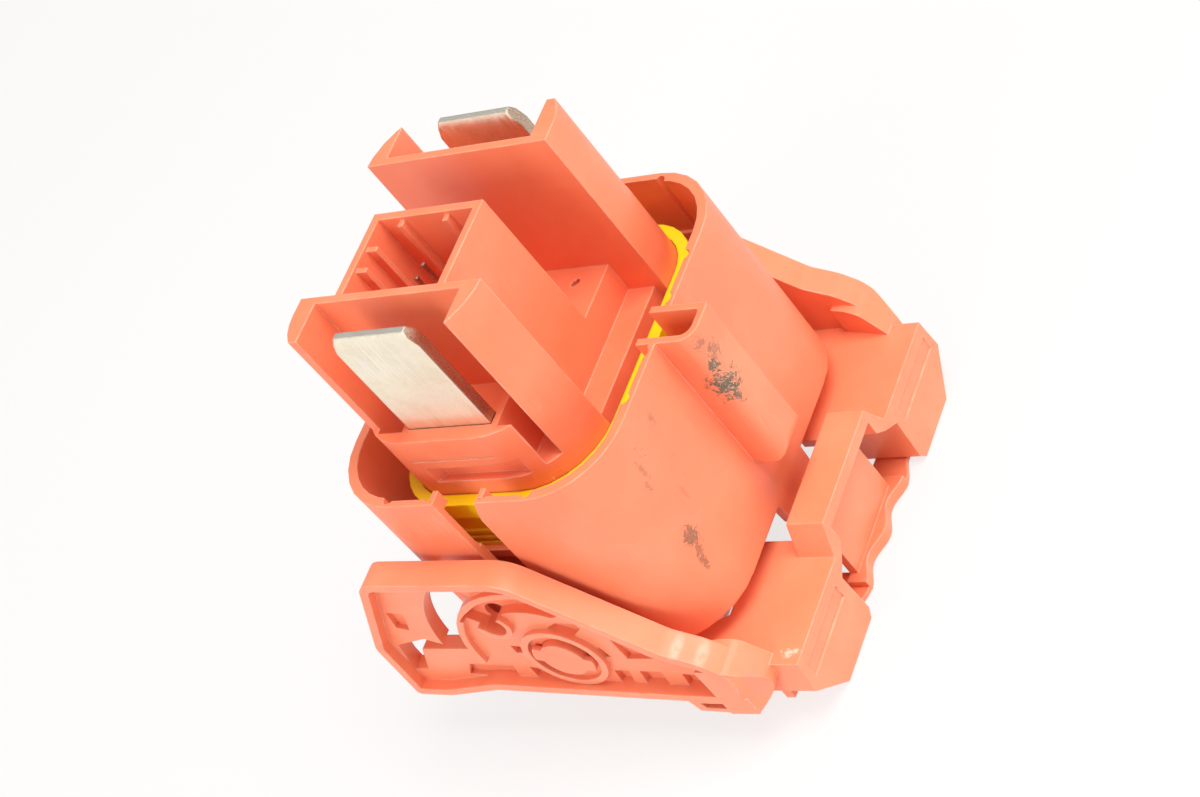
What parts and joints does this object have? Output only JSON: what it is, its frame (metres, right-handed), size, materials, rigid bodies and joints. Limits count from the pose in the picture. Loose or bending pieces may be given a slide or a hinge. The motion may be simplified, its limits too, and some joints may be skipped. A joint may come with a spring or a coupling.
{
  "type": "high-voltage service disconnect plug with built-in fuse",
  "caption": "Round-cornered plastic plug with two tinned blades behind guard walls, an interlock socket, a yellow seal ring and a folding locking lever.",
  "frame": {"origin": "centre of the pivot axis projected onto the flat back face that the plug rests on", "axes": "+Z mating direction, out of the open rim and along the blades; +X towards the folded lever's handle; +Y towards the back blade"},
  "size_m": [0.084, 0.0848, 0.095],
  "materials": {
    "housing_orange": "satin glass-filled nylon with scuffs and a dirt patch",
    "carrier_orange": "satin moulded",
    "lever_orange": "satin moulded, shiny worn shoulders",
    "retainer_yellow": "satin moulded",
    "seal_rubber": "matte silicone",
    "cover_seal_rubber": "matte",
    "tinned_copper": "tin plated, scratched along its length",
    "fuse_ceramic": "matt",
    "fuse_brass": "plated",
    "fuse_silver": "bright strip",
    "zinc_steel": "zinc plated"
  },
  "bodies": {
    "plug": {"plug_housing": "housing_orange", "contact_carrier": "carrier_orange", "blade_front": "tinned_copper", "blade_back": "tinned_copper", "interlock_jumper": "tinned_copper", "seal_retainer": "retainer_yellow", "perimeter_seal": "seal_rubber", "fuse_barrel": "fuse_ceramic", "fuse_cap_front": "fuse_brass", "fuse_cap_back": "fuse_brass", "fuse_element": "fuse_silver", "fuse_screw_front": "zinc_steel", "fuse_screw_back": "zinc_steel", "cover_seal": "cover_seal_rubber", "back_cover": "housing_orange", "cover_screw_1": "zinc_steel", "cover_screw_2": "zinc_steel", "cover_screw_3": "zinc_steel", "cover_screw_4": "zinc_steel"},
    "lever_arm": {"lever": "lever_orange"}
  },
  "joints": [
    {"name": "lever_pivot", "type": "hinge", "parent": "plug", "child": "lever_arm", "pos_m": [0, 0, 0.024], "axis": [0, 1, 0], "range_deg": [0, 90]}
  ]
}
